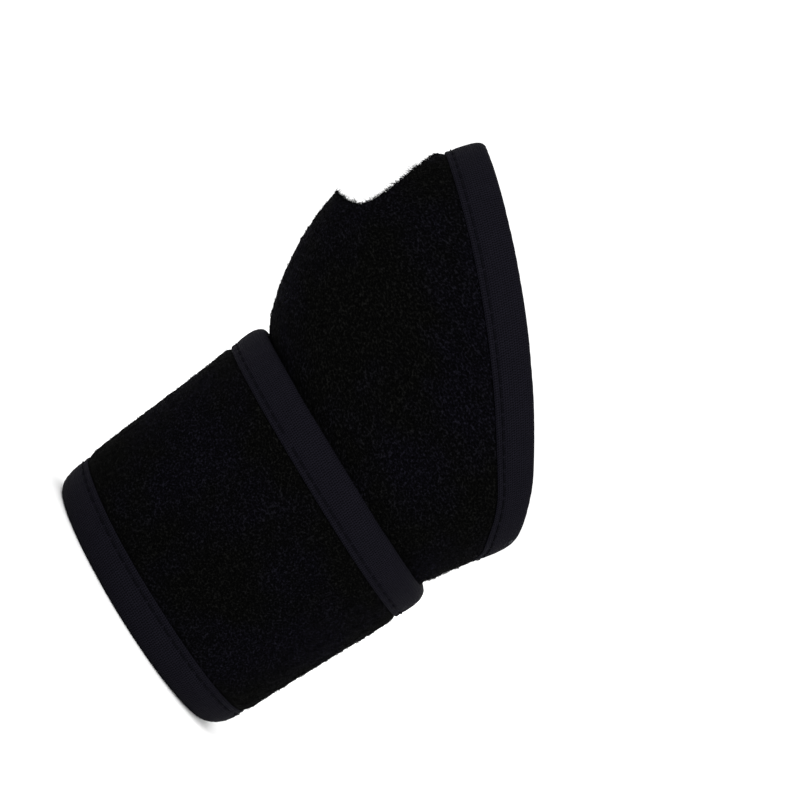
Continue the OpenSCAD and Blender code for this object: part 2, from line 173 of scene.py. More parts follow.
def degree_mm(phi, z):
    """Length of one degree of the strip, in its middle."""
    return np.linalg.norm(place(phi + 0.5, z, MIDDLE, False) - place(phi - 0.5, z, MIDDLE, False), axis=-1)


def arc_edge(x):
    """Height of the distal edge's arc, seen square on from the back of the hand."""
    return ARC_Z + np.sqrt(ARC_R**2 - (x - ARC_X) ** 2) - DROP_RATE * np.maximum(0, x - DROP_X) ** 2


def back_edge(phi):
    near = arc_edge((WEB_X + KNUCKLE_X) / 2 + (WEB_X - KNUCKLE_X) / 2 * np.sin(np.radians(phi)))
    return arc_edge(np.maximum(WEB_X, place(phi, near, LAMINATE_T, False)[..., 0]))


def palm_edge(phi):
    """From the little-finger side the edge comes down to the strap in one smooth curve."""
    run, top = EDGE_END - ARC_END, back_edge(ARC_END)
    t = np.clip((phi - ARC_END) / run, 0, 1)
    return lerp(top, STRAP_H, smooth(t)) + (top - back_edge(ARC_END - 1)) * run * t * (1 - t) ** 2


def distal_z(phi):
    """Height of the distal edge."""
    phi = np.asarray(phi, float)
    flap = arc_edge(WEB_X) - FLAP_DROP * ((90 - phi) / (90 - FLAP_START)) ** 2
    return np.where(phi < 90, flap, np.where(phi < ARC_END, back_edge(phi), palm_edge(phi)))


def rise(phi):
    """Slope of the distal edge, in height per length along the strip."""
    z = distal_z(phi)
    return (distal_z(phi + 1) - distal_z(phi - 1)) / 2 / degree_mm(phi, z)


def slant(phi):
    return np.hypot(1, rise(phi))


def hole_share(phi, power):
    """How much of its full reach up or down the thumb hole has at an angle."""
    u = np.clip(np.abs(np.asarray(phi, float) - 90) / HOLE_PHI, 0, 1)
    return (1 - u**power) ** (1 / power)


def hole_mid(phi):
    """The level where the rows part for the thumb hole, beside it and away from it."""
    near = smooth((HOLE_PHI + SLIT_RUN - np.abs(phi - 90)) / SLIT_RUN)
    return lerp(SLIT_SHARE * distal_z(phi), HOLE_Z, near)


# ---- Crown of the free pile, by cloth simulation -----------------------------------------------------


class Crown:
    """How far the pile swells between its tapes, from a cloth blown outwards with its edges held."""

    SCALE = 10  # the cloth is simulated at ten times its size, where the solver is stable
    ROWS = 29
    STEP = 4.0  # degrees between its columns
    HOLE_MARGIN = 3  # how far round the thumb hole the cloth is held, in mm and degrees
    END_MARGIN = 16  # degrees at each end in which it is held
    FRAMES = 20
    COVERED_TO = 344  # angle up to which the strap is covered by a later turn

    def __init__(self):
        self.phis = np.arange(FLAP_START, TAB_END + self.STEP, self.STEP)
        self.share = np.linspace(0, 1, self.ROWS)
        phi, t = np.meshgrid(self.phis, self.share, indexing="ij")
        z = t * distal_z(phi)
        edge = np.minimum(z, distal_z(phi) - z)
        low, high = HOLE_Z - HOLE_DOWN - self.HOLE_MARGIN, HOLE_Z + HOLE_UP + self.HOLE_MARGIN
        in_hole = (np.abs(phi - 90) < HOLE_PHI + self.HOLE_MARGIN) & (z > low) & (z < high)
        ends = (phi < FLAP_START + self.END_MARGIN) | (phi > TAB_END - self.END_MARGIN)
        held = (edge < TAPE_W + 1) | in_hole | ends
        swell = self.blow(phi, z, held)
        for _ in range(3):
            swell = self.even(swell)
        self.swell = swell / max(swell.max(), 1e-6)

    @staticmethod
    def even(v):
        p = np.pad(v, 1, mode="edge")
        return (p[:-2, 1:-1] + p[2:, 1:-1] + p[1:-1, :-2] + p[1:-1, 2:] + 4 * v) / 8

    def blow(self, phi, z, held):
        ni, nj = phi.shape
        points = place(phi, z, MIDDLE).reshape(-1, 3) * MM * self.SCALE
        quads = grid_quads(ni, nj)
        mesh = bpy.data.meshes.new("crown_cloth")
        mesh.from_pydata(points.tolist(), [], quads.tolist())
        obj = bpy.data.objects.new("crown_cloth", mesh)
        bpy.context.scene.collection.objects.link(obj)
        obj.vertex_groups.new(name="held").add(np.flatnonzero(held.ravel()).tolist(), 1.0, "REPLACE")
        cloth = obj.modifiers.new("cloth", "CLOTH").settings
        cloth.vertex_group_mass = "held"
        cloth.quality = 6
        cloth.mass = 0.3
        cloth.tension_stiffness = cloth.compression_stiffness = 40
        cloth.bending_stiffness = 2
        cloth.use_pressure = True
        cloth.uniform_pressure_force = 4
        cloth.effector_weights.gravity = 0
        scene = bpy.context.scene
        for number in range(1, self.FRAMES + 1):
            scene.frame_set(number)
        shown = obj.evaluated_get(bpy.context.evaluated_depsgraph_get()).data
        moved = np.empty(len(points) * 3)
        shown.vertices.foreach_get("co", moved)
        scene.frame_set(1)
        bpy.data.objects.remove(obj)
        bpy.data.meshes.remove(mesh)
        out = (place(phi, z, MIDDLE + 1) - place(phi, z, MIDDLE)).reshape(-1, 3)
        gone = ((moved.reshape(-1, 3) - points) * out).sum(1) / (MM * self.SCALE)
        print(f"crown: the cloth moved {gone.min():.2f} to {gone.max():.2f} mm")
        return np.tanh(np.clip(gone, 0, None) / (2 * CROWN)).reshape(ni, nj)

    def at(self, phi, z):
        """The swelling in mm, which is nothing where another turn of the strip lies on top."""
        i = np.clip((phi - self.phis[0]) / self.STEP, 0, len(self.phis) - 1.001)
        j = np.clip(z / distal_z(phi) * (self.ROWS - 1), 0, self.ROWS - 1.001)
        i0, j0 = i.astype(int), j.astype(int)
        u, v, s = i - i0, j - j0, self.swell
        value = lerp(lerp(s[i0, j0], s[i0 + 1, j0], u), lerp(s[i0, j0 + 1], s[i0 + 1, j0 + 1], u), v)
        bare = np.maximum(smooth((phi - self.COVERED_TO) / 8), smooth((z - STRAP_H - 1) / 9))
        return CROWN * value * bare


# ---- Meshes -----------------------------------------------------------------------------------------


def grid_quads(ni, nj):
    i, j = np.meshgrid(np.arange(ni - 1), np.arange(nj - 1), indexing="ij")
    k = (i * nj + j).ravel()
    return np.stack([k, k + nj, k + nj + 1, k + 1], 1)


def add_mesh(name, points, faces, material, uvs=None, flat=False):
    """A new piece from points in mm. uvs holds one pair for each point."""
    mesh = bpy.data.meshes.new(name)
    mesh.from_pydata((np.asarray(points) * MM).tolist(), [], [list(map(int, f)) for f in faces])
    if uvs is not None:
        layer = mesh.uv_layers.new(name="UVMap")
        corner = np.empty(len(mesh.loops), int)
        mesh.loops.foreach_get("vertex_index", corner)
        layer.data.foreach_set("uv", (np.asarray(uvs)[corner] * MM).ravel())
    mesh.polygons.foreach_set("use_smooth", [not flat] * len(mesh.polygons))
    mesh.materials.append(material)
    mesh.validate()
    obj = bpy.data.objects.new(name, mesh)
    bpy.context.scene.collection.objects.link(obj)
    return obj


class Patch:
    """Part of the strip as a net of nodes: angle, height and distance from the bound edge."""

    def __init__(self, *grids):
        nodes, quads, start = [], [], 0
        for g in grids:
            ni, nj, _ = g.shape
            nodes.append(g.reshape(-1, 3))
            quads.append(grid_quads(ni, nj) + start)
            start += ni * nj
        nodes, quads = np.concatenate(nodes), np.concatenate(quads)
        keys = np.round(nodes[:, :2], 4)
        _, first, where = np.unique(keys, axis=0, return_index=True, return_inverse=True)
        self.nodes, quads = nodes[first], where.ravel()[quads]
        faces = []
        for q in quads.tolist():
            ring = [v for k, v in enumerate(q) if v != q[k - 1]]
            if len(set(ring)) > 2:
                faces.append(self.turned(ring))
        self.faces = faces
        count = {}
        for f in faces:
            for k, v in enumerate(f):
                count[(f[k - 1], v)] = count.get((f[k - 1], v), 0) + 1
        self.rim = [e for e in count if (e[1], e[0]) not in count]

    def turned(self, ring):
        """The ring, anticlockwise seen from outside."""
        x, y = self.nodes[ring, 0], self.nodes[ring, 1]
        area = (x * np.roll(y, -1) - y * np.roll(x, -1)).sum()
        return ring if area > 0 else ring[::-1]

    def layer(self, name, low, high, material, lump=0.0):
        """A closed sheet between two of the laminate's surfaces."""
        phi, z, e = self.nodes.T
        levels = laminate_levels(phi, z, e)
        outer = levels[high]
        if lump:
            outer = outer + lump * grain(phi, z) * smooth((e - TAPE_W - LUMP_FROM) / 1.5) * self.room()
        points = np.concatenate([place(phi, z, levels[low]), place(phi, z, outer)])
        n = len(phi)
        faces = [[v + n for v in f] for f in self.faces] + [f[::-1] for f in self.faces]
        walls = [[a + n, a, b, b + n] for a, b in self.rim]
        uvs = np.stack([strip_length(phi), z], 1)
        obj = add_mesh(name, points, faces + walls, material, np.concatenate([uvs, uvs]))
        sharpen(obj, len(faces))
        return obj

    def room(self):
        """1 where a node's neighbours are most of a cell away, less where the net is squeezed."""
        points = place(self.nodes[:, 0], self.nodes[:, 1], LAMINATE_T)
        nearest = np.full(len(points), 9.0)
        for f in self.faces:
            for k, v in enumerate(f):
                u = f[k - 1]
                d = math.dist(points[u], points[v])
                nearest[u] = min(nearest[u], d)
                nearest[v] = min(nearest[v], d)
        return np.clip(nearest / (0.7 * CELL), 0, 1)


def sharpen(obj, first):
    """The faces from a number on are flat with sharp edges, so that their neighbours' shading stays true."""
    mesh = obj.data
    for polygon in mesh.polygons[first:]:
        polygon.use_smooth = False
    edges = {key for polygon in mesh.polygons[first:] for key in polygon.edge_keys}
    for edge in mesh.edges:
        if edge.key in edges:
            edge.use_edge_sharp = True


GRAIN_SHAPE = (1400, 320)
_grain = rng.normal(0, 1, GRAIN_SHAPE)


def grain(phi, z):
    """Random lumps that are the same on both sides of a join between two meshes."""
    i = np.round(strip_length(phi) / CELL * 2).astype(int) % GRAIN_SHAPE[0]
    j = np.round(z / CELL * 2).astype(int) % GRAIN_SHAPE[1]
    return _grain[i, j]


# The laminate's four surfaces, from the skin outwards: free, pressed under the tape, and how much of
# the crown each takes.
FREE_LEVELS = (0.0, 0.4, 2.3, 3.0)
BOUND_LEVELS = (0.7, 0.95, 1.85, 2.3)
CROWN_SHARE = (0.0, 0.05, 0.85, 1.0)
SHOULDER = 1.5  # how far beside the tape the laminate takes to rise
EDGE_THIN, EDGE_THIN_REACH = 0.5, 4  # how much thinner it is at its edge, inside the tape's fold


def laminate_levels(phi, z, e):
    """Heights of the laminate's four surfaces, skin side first, at a distance from the bound edge."""
    free = smooth((e - TAPE_W + 0.2) / SHOULDER)
    thin = EDGE_THIN * np.clip(1 - e / EDGE_THIN_REACH, 0, 1) ** 2
    crown = crown_field.at(phi, z)
    levels = [lerp(b, f, free) + s * crown * free for b, f, s in zip(BOUND_LEVELS, FREE_LEVELS, CROWN_SHARE)]
    levels[2] = levels[2] - 0.6 * thin
    levels[3] = levels[3] - thin
    return levels


_length_phi = np.arange(FLAP_START - 5, TAB_END + 5, 0.5)
_length_mm = np.concatenate([[0], np.cumsum(0.5 * degree_mm(_length_phi[:-1] + 0.25, 40.0))])


def strip_length(phi):
    """Length along the strip, at mid height of the strap."""
    return np.interp(phi, _length_phi, _length_mm)


# ---- Nets of the strip ------------------------------------------------------------------------------

BAND = np.array([0.9, 3.5, 6.5, 9.1, 9.7, 10.3])  # distances from the edge, under the tape and beside it


def spaced(*stretches):
    """Rows between given levels: (start, end, count) stretches joined, for arrays of starts and ends."""
    rows = []
    for start, end, count in stretches:
        rows += [lerp(start, end, k / count) for k in range(count)]
    rows.append(stretches[-1][1])
    return np.stack(rows, -1)


# Rows of the finest net up to the strap's top, up to the thumb hole and above it.
ROW_COUNTS = (52, 44, 13)
# Its columns from the flap's end to the thumb hole, across the hole, and on to the next mesh.
COLUMN_COUNTS = (12, 64, 285)


def hand_rows(phi, coarse):
    """Heights below and above the level of the thumb hole, for each angle."""
    phi = np.asarray(phi, float)
    top, f, mid = distal_z(phi), slant(phi), hole_mid(phi)
    hole_low = mid - HOLE_DOWN * hole_share(phi, WRIST_END_POWER)
    hole_high = mid + HOLE_UP * hole_share(phi, FINGER_END_POWER)
    base = np.full_like(phi, BAND[-1])
    kink = np.minimum(STRAP_H, KINK_SHARE * SLIT_SHARE * top)
    n = [max(1, round(k / coarse)) for k in ROW_COUNTS]
    band = np.broadcast_to(BAND[:-1], phi.shape + (len(BAND) - 1,))
    low = np.concatenate([band, spaced((base, kink, n[0]), (kink, hole_low, n[1]))], -1)
    cap = np.maximum(top - BAND[-1] * f, hole_high + 0.3)
    upper_band = top[..., None] - band[..., ::-1] * f[..., None]
    high = np.concatenate([spaced((hole_high, cap, n[2])), upper_band], -1)
    return low, high


def hand_net(coarse):
    """The hand section: columns follow the flap's end, then the thumb hole, then the turns."""
    start = np.array([FLAP_START])
    hole_from, hole_to = 90 - HOLE_PHI, 90 + HOLE_PHI
    near_count, hole_count, later_count = (round(k / coarse) for k in COLUMN_COUNTS)
    fan = np.linspace(0, 1, max(2, near_count))[1:-1]
    turn = (1 - np.cos(np.linspace(0, math.pi, hole_count))) / 2
    later = np.linspace(hole_to, HAND_END, later_count)[1:]
    grids = []
    for side in (0, 1):
        z0 = hand_rows(start, coarse)[side][0]
        last = FLAP_START + BAND[-1] / degree_mm(FLAP_START, z0)
        ends = [FLAP_START + d / degree_mm(FLAP_START, z0) for d in BAND]
        ends += [lerp(last, hole_from, t) for t in fan]
        near = np.stack(ends)
        rows = hand_rows(near, coarse)[side]
        near_z = np.take_along_axis(rows, np.arange(len(z0))[None, :, None], 2)[..., 0]
        far = np.concatenate([lerp(hole_from, hole_to, turn), later])
        far_z = hand_rows(far, coarse)[side]
        phi = np.concatenate([near, np.repeat(far[:, None], len(z0), 1)])
        z = np.concatenate([near_z, far_z])
        from_end = (phi - FLAP_START) * degree_mm(FLAP_START, z)
        e = np.minimum(np.minimum(z, (distal_z(phi) - z) / slant(phi)), from_end)
        grids.append(np.stack([phi, z, e], -1))
    return Patch(*grids)


STRAP_DEGREE, TAB_SIDE_DEGREE = 0.62, 0.6  # rough lengths of one degree of the strap and the tab, in mm


def strap_net(start, end, coarse):
    count = max(2, round((end - start) * STRAP_DEGREE / (CELL * coarse)))
    phi = np.linspace(start, end, count)
    rows = np.concatenate([BAND[:-1], np.linspace(BAND[-1], STRAP_H - BAND[-1], round(44 / coarse)),
                           STRAP_H - BAND[-2::-1]])
    p, z = np.meshgrid(phi, rows, indexing="ij")
    return Patch(np.stack([p, z, np.minimum(z, STRAP_H - z)], -1))


TAB_DEGREE = float(degree_mm((TAB_FOLD + TAB_END) / 2, STRAP_H / 2))
CORNER_PHI = TAB_END - TAB_R / TAB_DEGREE


def tab_path(long_step, corner_steps, end_steps):
    """The tab's edge as angle, height and the way in across and up the strip, low edge first."""
    count = max(2, round((CORNER_PHI - SIDE_MID) * TAB_SIDE_DEGREE / long_step))
    low = [(phi, 0.0, 0.0, 1.0) for phi in np.linspace(SIDE_MID, CORNER_PHI, count)]
    for b in np.linspace(0, math.pi / 2, corner_steps + 1)[1:]:
        low.append((CORNER_PHI + TAB_R * math.sin(b) / TAB_DEGREE, TAB_R * (1 - math.cos(b)),
                    -math.sin(b), math.cos(b)))
    end = [(TAB_END, z, -1.0, 0.0) for z in np.linspace(TAB_R, STRAP_H - TAB_R, end_steps + 1)[1:-1]]
    high = [(p, STRAP_H - z, q, -r) for p, z, q, r in reversed(low)]
    return np.array(low + end + high)


def inside(path, d):
    """Points a distance in from the edge, as angle and height, for each distance."""
    d = np.asarray(d, float)[None, :]
    p, z, q, r = (path[:, k : k + 1] for k in range(4))
    return np.stack([p + q * d / degree_mm(p, z), z + r * d], -1)


def tab_net(coarse):
    corner, end = max(4, round(16 / coarse)), max(4, round(44 / coarse))
    path = tab_path(CELL * coarse, corner, end)
    half = (len(path) - end + 1) // 2
    band = inside(path, BAND)
    band = np.concatenate([band, np.broadcast_to(BAND[None, :, None], band.shape[:2] + (1,))], -1)
    low, high = band[:half, -1], band[::-1][:half, -1]
    t = np.linspace(0, 1, end + 1)[None, :, None]
    middle = lerp(low[:, None, :], high[:, None, :], t)
    middle[..., 2] = np.minimum(BAND[-1] + 20, np.maximum(BAND[-1], np.minimum(
        np.minimum(middle[..., 1], STRAP_H - middle[..., 1]), (TAB_END - middle[..., 0]) * TAB_DEGREE)))
    middle[-1, :, :2] = band[half - 1 : half + end, -1, :2]
    return Patch(band, middle)


# ---- Edge tape ----------------------------------------------------------------------------------------

# The folded tape's outer skin, as distance in from the edge and height, from its inner leg's free edge
# round the fold to its outer leg's free edge, and how far the seam's stitches draw each point in.
TAPE_SKIN = np.array([
    [9.5, 0.25, 0.2], [8.9, 0.02, 0.5], [8.2, 0.1, 1.0], [7.9, 0.14, 1.0], [7.5, 0.08, 0.8], [6.6, 0.0, 0.2],
    [4.5, 0.0, 0], [2.6, 0.02, 0], [1.5, 0.12, 0], [0.75, 0.4, 0], [0.25, 0.85, 0], [0.0, 1.35, 0],
    [0.22, 1.9, 0], [0.75, 2.35, 0], [1.5, 2.66, 0], [2.6, 2.86, 0], [4.5, 2.98, 0], [6.6, 3.0, -0.2],
    [7.5, 2.9, -0.8], [7.9, 2.82, -1.0], [8.2, 2.86, -1.0], [8.9, 2.96, -0.5], [9.35, 2.9, -0.2],
    [9.5, 2.7, -0.2]])
# Its inner skin, back again.
TAPE_BACK = np.array([
    [9.5, 2.34, 0], [7.9, 2.26, 0], [4.5, 2.26, 0], [2.0, 2.1, 0], [1.1, 1.75, 0], [0.8, 1.35, 0],
    [1.1, 1.0, 0], [2.0, 0.74, 0], [4.5, 0.7, 0], [7.9, 0.7, 0], [9.5, 0.62, 0]])
TAPE_RING = np.concatenate([TAPE_SKIN, TAPE_BACK])
TAPE_STEP = 0.8  # between rings along the tape
SEAM_PULL = 0.2  # how deep a stitch draws the tape in


def path_length(path):
    """Length along an edge path, measured on the tape's outer face."""
    points = place(path[:, 0], path[:, 1], LAMINATE_T)
    return np.concatenate([[0], np.cumsum(np.linalg.norm(np.diff(points, axis=0), axis=1))])


def resampled(path, step):
    s = path_length(path)
    at = np.linspace(0, s[-1], max(2, round(s[-1] / step)))
    return np.stack([np.interp(at, s, path[:, k]) for k in range(4)], 1)


def edge_tape(name, path, material, offset=0.0):
    """Tape folded over an edge. The strip lies on the left of the path, seen from outside."""
    path = resampled(path, TAPE_STEP)
    s = path_length(path) + offset
    pull = 0.5 + 0.5 * np.cos(2 * np.pi * s / STITCH_PITCH)
    ripple = 0.03 * np.sin(2 * np.pi * s / STITCH_PITCH) + 0.05 * np.sin(s / 5.3) + 0.04 * np.sin(s / 2.9 + 1)
    d, off, draw = TAPE_RING.T
    depth = off[None, :] + SEAM_PULL * draw[None, :] * pull[:, None]
    inward = d[None, :] + np.clip(ripple, 0, None)[:, None] * (d[None, :] < 2)
    p, z, q, r = (path[:, k : k + 1] for k in range(4))
    points = place(p + q * inward / degree_mm(p, z), z + r * inward, depth)
    n, m = points.shape[:2]
    around = np.concatenate([[0], np.cumsum(np.hypot(*np.diff(TAPE_RING[:, :2], axis=0).T))])
    uvs = np.stack(np.broadcast_arrays(s[:, None], around[None, :]), -1).reshape(-1, 2)
    i, j = np.meshgrid(np.arange(n - 1), np.arange(m), indexing="ij")
    a, b = (i * m + j).ravel(), (i * m + (j + 1) % m).ravel()
    faces = np.stack([a, b, b + m, a + m], 1).tolist()
    faces += [list(range(m))[::-1], list(range((n - 1) * m, n * m))]
    obj = add_mesh(name, points.reshape(-1, 3), faces, material, uvs)
    sharpen(obj, len(faces) - 2)
    return obj


def low_path(start, end):
    phi = np.linspace(start, end, max(2, int(abs(end - start)) + 1))
    return np.stack([phi, 0 * phi, 0 * phi, 0 * phi + 1], 1)


def high_path(start, end):
    """The distal edge from start down to end."""
    phi = np.linspace(start, end, max(2, int(abs(end - start)) + 1))
    return np.stack([phi, distal_z(phi), 0 * phi, -slant(phi)], 1)


def flap_path():
    """The flap's end, from under the distal tape down to the proximal tape."""
    under = TAPE_W - 0.6
    z = np.linspace(distal_z(FLAP_START) - under * slant(FLAP_START), under, 60)
    up = rise(FLAP_START) * smooth((z - 70) / 60)
    return np.stack([0 * z + FLAP_START, z, 0 * z + 1, up], 1)


# ---- Seams ---------------------------------------------------------------------------------------------


def thread_tubes(name, lines, radius, material, sides=6):
    """Tubes of thread along short lines of points, shape (number, points, 3), with pointed ends."""
    lines = np.asarray(lines, float)
    count, k, _ = lines.shape
    along = np.gradient(lines, axis=1)
    along /= np.linalg.norm(along, axis=2, keepdims=True) + 1e-12
    ref = np.where(np.abs(along[..., 2:3]) > 0.9, [[[1.0, 0, 0]]], [[[0, 0, 1.0]]])
    u = np.cross(along, ref)
    u /= np.linalg.norm(u, axis=2, keepdims=True) + 1e-12
    v = np.cross(along, u)
    size = np.asarray(radius, float)
    size = np.broadcast_to(size if size.ndim else size[None], (k,))
    angle = np.arange(sides) * 2 * math.pi / sides
    cos, sin = (f(angle)[None, None, :, None] for f in (np.cos, np.sin))
    circle = u[:, :, None] * cos + v[:, :, None] * sin
    points = (lines[:, :, None] + circle * size[None, :, None, None]).reshape(-1, 3)
    i, j, c = np.meshgrid(np.arange(k - 1), np.arange(sides), np.arange(count) * k * sides, indexing="ij")
    a, b = (c + i * sides + j).ravel(), (c + i * sides + (j + 1) % sides).ravel()
    faces = np.stack([a, a + sides, b + sides, b], 1).tolist()
    for start in range(0, count * k * sides, k * sides):
        faces.append(list(range(start, start + sides)))
        last = start + (k - 1) * sides
        faces.append(list(range(last, last + sides))[::-1])
    return add_mesh(name, points, faces, material)


SEAM_LOW, SEAM_HIGH = 0.12, 2.86  # heights of the tape's two faces along the seam
STITCH_SHARE = 0.78  # the part of the pitch that a stitch shows

# A stitch along its length, as shares of it and heights over the fabric.
STITCH_SHAPE = ((-0.5, -0.3), (-0.42, 0.02), (-0.2, 0.14), (0.2, 0.14), (0.42, 0.02), (0.5, -0.3))


def stitches(path, inward, level, outwards=1, offset=0.0):
    """Lines of the stitches of a seam that runs a distance in from an edge path."""
    s = path_length(path)
    clear = STITCH_SHARE / 2 * STITCH_PITCH + 0.2
    first = STITCH_PITCH * (0.5 + math.ceil((clear + offset) / STITCH_PITCH - 0.5)) - offset
    centres = np.arange(first, s[-1] - clear, STITCH_PITCH)
    lines = []
    for part, bump in STITCH_SHAPE:
        at = centres + part * STITCH_PITCH * STITCH_SHARE
        p, z, q, r = (np.interp(at, s, path[:, k]) for k in range(4))
        lines.append(place(p + q * inward / degree_mm(p, z), z + r * inward, level + outwards * bump))
    return np.stack(lines, 1)


def both_faces(path, offset=0.0):
    """Lines of a seam's stitches on the tape's inner and outer faces."""
    inner = stitches(path, SEAM_IN, SEAM_LOW, -1, offset)
    outer = stitches(path, SEAM_IN, SEAM_HIGH, 1, offset)
    return np.concatenate([inner, outer])


# ---- Pile, fuzz and hooks ------------------------------------------------------------------------------


def pile_loops(name, patch, density, material):
    """Small loops of yarn that stand up out of the pile."""
    phi, z, e = patch.nodes.T
    free = np.flatnonzero(e > TAPE_W + 1.4)
    area = patch_area(patch)
    pick = rng.choice(free, int(area * density))
    p, h = phi[pick] + rng.uniform(-0.5, 0.5, len(pick)), z[pick] + rng.uniform(-0.4, 0.4, len(pick))
    level = laminate_levels(p, h, e[pick])[3]
    turn = rng.uniform(0, 2 * math.pi, len(pick))
    wide, tall = rng.uniform(0.18, 0.38, len(pick)), rng.uniform(0.12, 0.42, len(pick))
    lines = []
    for x, y in ((-1, -0.6), (-0.9, 0.5), (0, 1.0), (0.9, 0.5), (1, -0.6)):
        dp = x * wide * np.cos(turn) / degree_mm(p, h)
        dz = x * wide * np.sin(turn)
        lines.append(place(p + dp, h + dz, level + y * tall))
    return thread_tubes(name, np.stack(lines, 1), 0.055, material, sides=3)


def patch_area(patch):
    phi, z, _ = patch.nodes.T
    points = place(phi, z, LAMINATE_T)
    total = 0.0
    for f in patch.faces:
        c = points[f]
        for k in range(1, len(f) - 1):
            total += np.linalg.norm(np.cross(c[k] - c[0], c[k + 1] - c[0])) / 2
    return total


def hole_edge(count):
    """Points round the thumb hole's edge, and the way out of the fabric: angle, height, across, up."""
    t = np.linspace(0, 2 * math.pi, 2001)
    power = 2 / np.where(np.sin(t) < 0, WRIST_END_POWER, FINGER_END_POWER)
    x = np.sign(np.cos(t)) * np.abs(np.cos(t)) ** power
    y = np.sign(np.sin(t)) * np.abs(np.sin(t)) ** power
    phi, z = 90 + HOLE_PHI * x, HOLE_Z + np.where(y < 0, HOLE_DOWN, HOLE_UP) * y
    s = np.concatenate([[0], np.cumsum(np.linalg.norm(np.diff(place(phi, z, 1.5), axis=0), axis=1))])
    at = (np.arange(count) + rng.uniform(0, 1, count)) * s[-1] / count
    phi, z = np.interp(at, s, phi), np.interp(at, s, z)
    across = (90 - phi) / HOLE_PHI
    up = (HOLE_Z - z) / np.where(z < HOLE_Z, HOLE_DOWN, HOLE_UP)
    size = np.hypot(across, up)
    return phi, z, across / size, up / size


def raw_edge_fuzz(name, count, material):
    """Cut fibres that stick out of the thumb hole's raw edge."""
    p, z, q, r = hole_edge(count)
    base = rng.choice([0.2, 1.3, 2.4, 2.9, 3.1], count, p=[0.1, 0.1, 0.2, 0.3, 0.3])
    base = base + rng.normal(0, 0.15, count)
    long = rng.gamma(3.0, 0.18, count)
    bend, lift = rng.normal(0, 0.5, count), rng.normal(0.15, 0.35, count)
    degree = degree_mm(p, z)
    lines = []
    for t in (-0.25, 0.3, 0.7, 1.0):
        side = bend * long * t * t
        lines.append(place(p + (q * long * t - r * side) / degree, z + r * long * t + q * side,
                           base + lift * long * t))
    return thread_tubes(name, np.stack(lines, 1), [0.075, 0.065, 0.05, 0.025], material, sides=4)


# The hook patch: its lower edge, and its ends round the wrist.
HOOK_LOW = 13.1
HOOK_FROM, HOOK_TO = TAB_FOLD + 3, CORNER_PHI
HOOK_MARGIN = 2.2  # from its ends to the first hooks
HOOK_LINE, HOOK_STEP = 1.5, 1.25  # between lines of hooks, and between hooks of a line
HOOK_SHAPE = ((0, -0.4), (0, -0.95), (0.12, -1.2), (0.34, -1.24), (0.46, -1.06), (0.44, -0.9))


def hook_backing(name, material):
    """The hook tape's woven ground, thinner at its edges."""
    phi = np.linspace(HOOK_FROM, HOOK_TO, 40)
    z = np.linspace(HOOK_LOW, STRAP_H - HOOK_LOW, 60)
    p, h = np.meshgrid(phi, z, indexing="ij")
    across = np.minimum((p - HOOK_FROM), (HOOK_TO - p)) * TAB_DEGREE
    up = np.minimum(h - HOOK_LOW, STRAP_H - HOOK_LOW - h)
    edge = np.minimum(across, up)
    thin = 0.25 * np.clip(1 - edge / 0.8, 0, 1) ** 2
    outer, inner = place(p, h, -0.02), place(p, h, -0.5 + thin)
    n = p.size
    quads = grid_quads(*p.shape)
    net = Patch(np.stack([p, h, edge], -1))
    faces = [[v + n for v in f] for f in quads] + [f[::-1] for f in quads]
    index = {tuple(k): i for i, k in enumerate(np.round(np.stack([p.ravel(), h.ravel()], 1), 4).tolist())}
    rim = [[index[tuple(np.round(net.nodes[v, :2], 4).tolist())] for v in e] for e in net.rim]
    faces += [[a + n, a, b, b + n] for a, b in rim]
    uvs = np.stack([strip_length(p), h], -1).reshape(-1, 2)
    points = np.concatenate([inner.reshape(-1, 3), outer.reshape(-1, 3)])
    return add_mesh(name, points, faces, material, np.concatenate([uvs, uvs]))


def hooks(name, material):
    """Rows of small nylon hooks that point to the loop face, alternate rows facing opposite ways."""
    margin = HOOK_MARGIN / TAB_DEGREE
    columns = np.arange(HOOK_FROM + margin, HOOK_TO - margin, HOOK_LINE / TAB_DEGREE)
    rows = np.arange(HOOK_LOW + 2.4, STRAP_H - HOOK_LOW - 2.4, HOOK_STEP)
    lines = []
    for i, p in enumerate(columns):
        way = 1 if i % 2 else -1
        z = rows + 0.3 * (i % 2)
        lines.append(np.stack([place(p + 0 * z, z + way * x, y) for x, y in HOOK_SHAPE], 1))
    radii = [0.09, 0.085, 0.08, 0.075, 0.065, 0.04]
    return thread_tubes(name, np.concatenate(lines), radii, material, sides=5)


# ---- Materials -----------------------------------------------------------------------------------------


